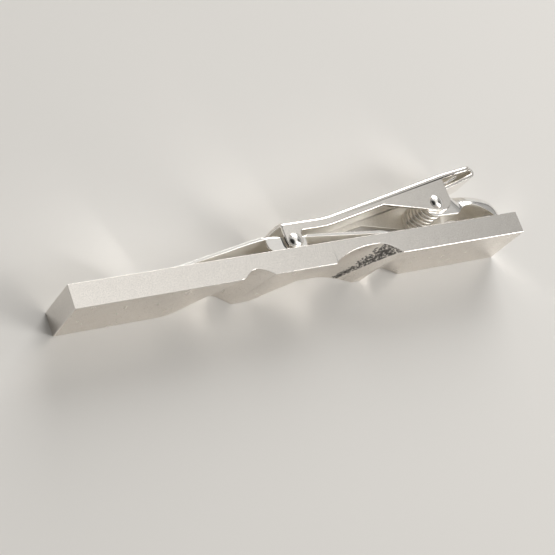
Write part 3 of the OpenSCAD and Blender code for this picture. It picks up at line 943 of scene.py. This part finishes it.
# %% Path of the spring
wire_r = 0.21
coil_r = 1.5
coil_turns = 5
coil_gap = 0.05
coil_half = bracket_half - bracket_t - coil_gap - wire_r
rings_a_turn = 36
leg_rings = 10
leg_gap = 0.1
upper_l = 6.0
lower_l = 5.85
tongue_end = (fold_at[0] + (fold_r - sheet_t) * tongue_out[0] - tongue_l * math.cos(tongue_angle),
              fold_at[1] + (fold_r - sheet_t) * tongue_out[1] - tongue_l * math.sin(tongue_angle))
leg_over = (tongue_end[0] - main_pin[0], tongue_end[1] + leg_gap + wire_r - main_pin[1])
upper_a = math.atan2(leg_over[1], leg_over[0]) - math.asin(coil_r / math.hypot(*leg_over))
lower_h = main_pin[1] - wire_r - rest_gap
lower_a = math.asin(lower_h / math.hypot(coil_r, lower_l)) - math.atan2(coil_r, lower_l)
coil_from = math.pi / 2 + upper_a
coil_sweep = 1.5 * math.pi - lower_a - coil_from + 2 * math.pi * coil_turns


def coil_point(t):
    """A point of the helix, from its upper leg to its lower leg."""
    a = coil_from + coil_sweep * t
    w = coil_half * (1 - 2 * t)
    return Vector((main_pin[0] + coil_r * math.cos(a), main_pin[1] + coil_r * math.sin(a), w))


upper_dir = Vector((math.cos(upper_a), math.sin(upper_a), 0))
lower_dir = Vector((math.cos(lower_a), -math.sin(lower_a), 0))
coil_rings = round(rings_a_turn * coil_sweep / (2 * math.pi))
path = [coil_point(0) + upper_dir * upper_l * s for s in spread(1, 0, leg_rings)[:-1]]
path += [coil_point(s) for s in spread(0, 1, coil_rings)]
path += [coil_point(1) + lower_dir * lower_l * s for s in spread(0, 1, leg_rings)[1:]]
wire_l = sum((b - a).length for a, b in zip(path, path[1:]))
print("wire of", round(wire_l, 1), "mm in", round(coil_sweep / (2 * math.pi), 1), "turns")

# %% Wind the spring
wire_sides = 12
# The wire's rounded ends: how far past the last place of the path, and what share of its radius
wire_end = [(0, 1), (0.05, 0.85), (0.1, 0.5)]
across = Vector((0, 0, 1))
rings = []
for number, point in enumerate(path):
    along = (path[min(len(path) - 1, number + 1)] - path[max(0, number - 1)]).normalized()
    side = across.cross(along).normalized()
    up = along.cross(side)
    steps = wire_end[:1]
    if number == 0:
        steps = [(-shift, share) for shift, share in reversed(wire_end)]
    elif number == len(path) - 1:
        steps = wire_end
    for shift, share in steps:
        centre = point + along * shift
        rings.append([on_back(*(centre + wire_r * share * (side * math.cos(a) + up * math.sin(a))))
                      for a in spread(0, 2 * math.pi, wire_sides)[:-1]])
spring = weld([loft("wound_spring", rings)])
soften(spring, 0)

# %% [markdown]
# ## Who rides on what
#
# The bar, the bracket and the main pin are fixed to each other. The lever carries the rocker pin,
# and the strip rocks on it. The spring rides on no body and stays as it is wound.

# %% Place the pieces on their bodies
for piece, body, node, finish in [
        (bar, "root", "bar", "satin_silver"),
        (bracket, "root", "hinge_bracket", "polished_silver"),
        (hinge_rivet, "root", "main_pin", "polished_silver"),
        (lever, "lever", "clip_lever", "satin_silver"),
        (rocker_rivet, "lever", "rocker_pin", "polished_silver"),
        (strip, "rocker", "rocker_strip", "polished_silver")]:
    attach(piece, body)
    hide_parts(node)
    print(piece.name, "rides on", body, "and stands for", node)
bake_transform(spring)
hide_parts("torsion_spring")

# %% [markdown]
# ## The metal
#
# All of it is silver or silver plate, so one function makes every finish. Silver has almost no
# colour of its own. What tells a drawn face from a polished one is its roughness and its grain, and
# what makes it look handled is a mottle of tarnish and a scatter of fine dark specks.

# %% One function for every finish
speck_tint = (0.30, 0.26, 0.21, 1)
cloud_scale = 900
cloud_span = (0.35, 0.7)
cloud_shade = 0.95
grit_scale = 7000
grit_detail = 4
grit_span = (0.25, 0.75)
grit_shade = 0.80
speck_detail = 2
speck_span = (0.67, 0.73)
speck_share = 0.6
wear_scale = 700
wear_span = (0.3, 0.7)


def scaled(tint, shade):
    """A tint made darker, with its alpha."""
    return tuple(shade * v for v in tint) + (1,)


def silver(material, tint, rough, rough_range, grain_scale, grain_height, specks):
    """A silver finish: cloudy roughness, a fine grain and a share of dark specks."""
    material.use_nodes = True
    nodes, links = material.node_tree.nodes, material.node_tree.links
    shader = nodes["Principled BSDF"]
    shader.inputs["Metallic"].default_value = 1
    place = nodes.new("ShaderNodeTexCoord")

    def noise(scale, detail=3):
        texture = nodes.new("ShaderNodeTexNoise")
        texture.inputs["Scale"].default_value = scale
        texture.inputs["Detail"].default_value = detail
        links.new(place.outputs["Object"], texture.inputs["Vector"])
        return texture.outputs["Fac"]

    def fitted(value, span, to_span):
        fit = nodes.new("ShaderNodeMapRange")
        for socket, number in zip(("From Min", "From Max", "To Min", "To Max"), span + to_span):
            fit.inputs[socket].default_value = number
        links.new(value, fit.inputs["Value"])
        return fit.outputs["Result"]

    def mixed(share, low, high):
        mix = nodes.new("ShaderNodeMix")
        mix.data_type = "RGBA"
        links.new(share, mix.inputs["Factor"])
        for socket, value in ((6, low), (7, high)):
            if isinstance(value, tuple):
                mix.inputs[socket].default_value = value
            else:
                links.new(value, mix.inputs[socket])
        return mix.outputs[2]

    clouds = fitted(noise(cloud_scale), cloud_span, (0, 1))
    grit = fitted(noise(grit_scale, grit_detail), grit_span, (0, 1))
    dot_span = tuple(edge - specks for edge in speck_span)
    dots = fitted(noise(grit_scale, speck_detail), dot_span, (0, speck_share))
    wear = fitted(noise(wear_scale), wear_span, (rough - rough_range, rough + rough_range))
    gritty = mixed(grit, scaled(tint, grit_shade), mixed(clouds, scaled(tint, 1), scaled(tint, cloud_shade)))
    speckled = mixed(dots, gritty, speck_tint)
    links.new(speckled, shader.inputs["Base Color"])
    links.new(wear, shader.inputs["Roughness"])
    bump = nodes.new("ShaderNodeBump")
    bump.inputs["Strength"].default_value = 1
    bump.inputs["Distance"].default_value = grain_height
    links.new(noise(grain_scale), bump.inputs["Height"])
    links.new(bump.outputs["Normal"], shader.inputs["Normal"])
    print(material.name, "has", len(nodes), "nodes")
    return mixed, fitted, speckled


# %% [markdown]
# ## The finishes
#
# The bar's drawn faces and the pressed lever are smooth, with a fine grain. The strip, the bracket
# and the rivets are brighter, and the wire is a little duller. The inner faces and the bar's back get
# a lighter, warmer silver that is matt and partly diffuse: painted light that keeps the inside of a
# channel light. The worked front of the bar is rougher, and its pits are darkened with painted shade.

# %% Make the finishes
drawn_tint = (0.92, 0.885, 0.84)
worked_tint = (0.93, 0.88, 0.82)
# Lighter and warmer than the outer tints: painted light for the shaded inside of the clip
lightened_inner_tint = (0.99, 0.96, 0.905)
inner_metallic = 0.5
polished_tint = (0.96, 0.94, 0.91)
pressed_silver, polished_silver, wound_wire = (
    bpy.data.materials.new(name) for name in ("pressed_silver", "polished_silver", "wound_wire"))
silver(drawn_silver, drawn_tint, rough=0.10, rough_range=0.02,
       grain_scale=9000, grain_height=0.000003, specks=-0.03)
silver(pressed_silver, drawn_tint, rough=0.10, rough_range=0.02,
       grain_scale=9000, grain_height=0.000003, specks=0)
silver(polished_silver, polished_tint, rough=0.09, rough_range=0.03,
       grain_scale=1500, grain_height=0.000002, specks=-0.05)
silver(wound_wire, polished_tint, rough=0.14, rough_range=0.04,
       grain_scale=3000, grain_height=0.000002, specks=-0.05)
# The inner silver is matt, partly diffuse and lighter: painted light that keeps the inside light
silver(lightened_inner_silver, lightened_inner_tint, rough=0.35, rough_range=0.04,
       grain_scale=1500, grain_height=0.000002, specks=-0.05)
lightened_inner_silver.node_tree.nodes["Principled BSDF"].inputs["Metallic"].default_value = inner_metallic

# %% Paint shade into the pits
# Painted shade: each pit is darkened towards black, and the deeper it is, the darker
pit_shade_tint = (0.03, 0.03, 0.03, 1)
pit_span = (0.12, 0.6)
pit_shade_share = 0.9
mixed, fitted, speckled = silver(punched_silver, worked_tint, rough=0.32, rough_range=0.06,
                                 grain_scale=8000, grain_height=0.000007, specks=0.03)
nodes, links = punched_silver.node_tree.nodes, punched_silver.node_tree.links
pit_depth = nodes.new("ShaderNodeAttribute")
pit_depth.attribute_name = "pit"
shaded_pits = mixed(fitted(pit_depth.outputs["Fac"], pit_span, (0, pit_shade_share)), speckled, pit_shade_tint)
links.new(shaded_pits, nodes["Principled BSDF"].inputs["Base Color"])

# %% Give the pieces their finishes
inward_share = 0.1
lever_middle_d = 0.9
strip_middle_d = 1.2
bracket_middle_h = 0.8
lever.data.materials.append(pressed_silver)
spring.data.materials.append(wound_wire)
for piece in (bracket, strip, hinge_rivet, rocker_rivet):
    piece.data.materials.append(polished_silver)


def lighten_inside(piece, middle_h):
    """Gives the lighter matt silver, painted light for the shaded inside, to the faces that look at a line
    inside the piece.
    """
    piece.data.materials.append(lightened_inner_silver)
    inner_faces = 0
    for face in piece.data.polygons:
        centre = face.center / MM
        inward = Vector((0, middle_h(centre.x) - (centre.y - back_y), mid_z - centre.z))
        if face.normal.dot(inward) > inward_share * inward.length:
            face.material_index = 1
            inner_faces += 1
    print(piece.name, "has", inner_faces, "inner faces of", len(piece.data.polygons))


lighten_inside(lever, lambda x: lever_top(x) - lever_middle_d)
lighten_inside(strip, lambda x: strip_top(x) - strip_middle_d)
lighten_inside(bracket, lambda x: bracket_middle_h)

# %% [markdown]
# ## The table
#
# The clip lies on a pale matt table. It is a plain plane, and it isn't part of the clip. It has
# no gloss at all: a glossy table would draw white lines in the polished metal.

# %% Lay the table
table_size = 3
table_tint = (0.72, 0.70, 0.668, 1)
bpy.ops.object.select_all(action="DESELECT")
bpy.ops.mesh.primitive_plane_add(size=table_size)
table = bpy.context.object
table.name = "table"
paper = bpy.data.materials.new("pale_table")
paper.use_nodes = True
for socket, value in (("Base Color", table_tint), ("Roughness", 0.9), ("Specular IOR Level", 0)):
    paper.node_tree.nodes["Principled BSDF"].inputs[socket].default_value = value
table.data.materials.append(paper)
print("table of", table_size, "m")

# %% [markdown]
# ## The lamps
#
# One large soft lamp stands low over the clip's far side, so the shadow falls towards the camera.
# A smaller one at the right gives the hood and the domed rivets their bright spots.

# %% Hang the lamps
def towards(azimuth, elevation):
    """A direction from two angles, in degrees."""
    a, e = math.radians(azimuth), math.radians(elevation)
    return Vector((math.cos(e) * math.cos(a), math.cos(e) * math.sin(a), math.sin(e)))


def softbox(name, azimuth, elevation, distance, size, glow):
    """A square soft lamp that faces the clip. Its glow is how bright a mirror would show it."""
    at = distance * towards(azimuth, elevation)
    bpy.ops.object.light_add(type="AREA", location=at)
    lamp = bpy.context.object
    lamp.name = name
    lamp.data.shape = "SQUARE"
    lamp.data.size = size
    lamp.data.energy = glow * math.pi * size ** 2
    lamp.rotation_euler = at.to_track_quat("Z", "Y").to_euler()
    print(name, "of", round(lamp.data.energy, 2), "W")


softbox("key_softbox", azimuth=62, elevation=31, distance=0.6, size=0.36, glow=5.8)
softbox("right_softbox", azimuth=-33, elevation=36, distance=0.35, size=0.13, glow=8.2)

# %% [markdown]
# ## The room
#
# Polished metal shows the room, and without the room's dark sides silver would look like white
# paint. So the world isn't one colour: the ceiling glows over the clip, a window shines at the
# right, and it is dark along the horizon, at a doorway and where the photographer stands. Each of
# these is a level that changes softly round a direction. Low behind the table stands a pale wall.

# %% Levels of the room
world = bpy.data.worlds.new("studio")
bpy.context.scene.world = world
world.use_nodes = True
nodes, links = world.node_tree.nodes, world.node_tree.links
backdrop = nodes["Background"]
backdrop.inputs["Color"].default_value = (1.0, 0.985, 0.955, 1)
direction = nodes.new("ShaderNodeTexCoord")
straight_up = Vector((0, 0, 1))


def glow_towards(aim, far, near, far_level, near_level):
    """A level that changes softly between two angles, in degrees, from a direction."""
    along = nodes.new("ShaderNodeVectorMath")
    along.operation = "DOT_PRODUCT"
    along.inputs[1].default_value = aim
    links.new(direction.outputs["Generated"], along.inputs[0])
    level = nodes.new("ShaderNodeMapRange")
    level.interpolation_type = "SMOOTHSTEP"
    level.inputs["From Min"].default_value = math.cos(math.radians(far))
    level.inputs["From Max"].default_value = math.cos(math.radians(near))
    level.inputs["To Min"].default_value = far_level
    level.inputs["To Max"].default_value = near_level
    links.new(along.outputs["Value"], level.inputs["Value"])
    return level.outputs["Result"]


def combined(operation, first, second):
    """Two levels, added, multiplied or the higher of them."""
    node = nodes.new("ShaderNodeMath")
    node.operation = operation
    links.new(first, node.inputs[0])
    links.new(second, node.inputs[1])
    return node.outputs["Value"]


ceiling = glow_towards(towards(56, 76), far=40, near=8, far_level=0.42, near_level=1)
horizon = glow_towards(straight_up, far=84, near=62, far_level=0.15, near_level=1)
photographer = glow_towards(towards(180, 62), far=38, near=22, far_level=1, near_level=0.05)
doorway = glow_towards(towards(-3, 47), far=17, near=10, far_level=1, near_level=0.2)
window = glow_towards(towards(-38, 56), far=22, near=12, far_level=0, near_level=0.8)
wall = glow_towards(straight_up, far=80, near=76, far_level=0.75, near_level=0)
print("room of", len(nodes), "nodes")

# %% Put the room together
room = combined("MULTIPLY", ceiling, horizon)
room = combined("MULTIPLY", room, combined("MULTIPLY", photographer, doorway))
room = combined("ADD", room, window)
# The wall is there for what looks at it, the camera and the metal, and gives the table no light
rays = nodes.new("ShaderNodeLightPath").outputs
seen = combined("MAXIMUM", rays["Is Glossy Ray"], rays["Is Transmission Ray"])
seen = combined("MAXIMUM", rays["Is Camera Ray"], seen)
links.new(combined("MAXIMUM", room, combined("MULTIPLY", wall, seen)), backdrop.inputs["Strength"])

# Light bounces many times between the polished faces inside the clip, so none of it is filtered
most_bounces = 24
scene = bpy.context.scene
scene.cycles.max_bounces = most_bounces
scene.cycles.glossy_bounces = most_bounces
scene.cycles.blur_glossy = 0
scene.view_settings.view_transform = "Standard"
print("up to", most_bounces, "bounces")
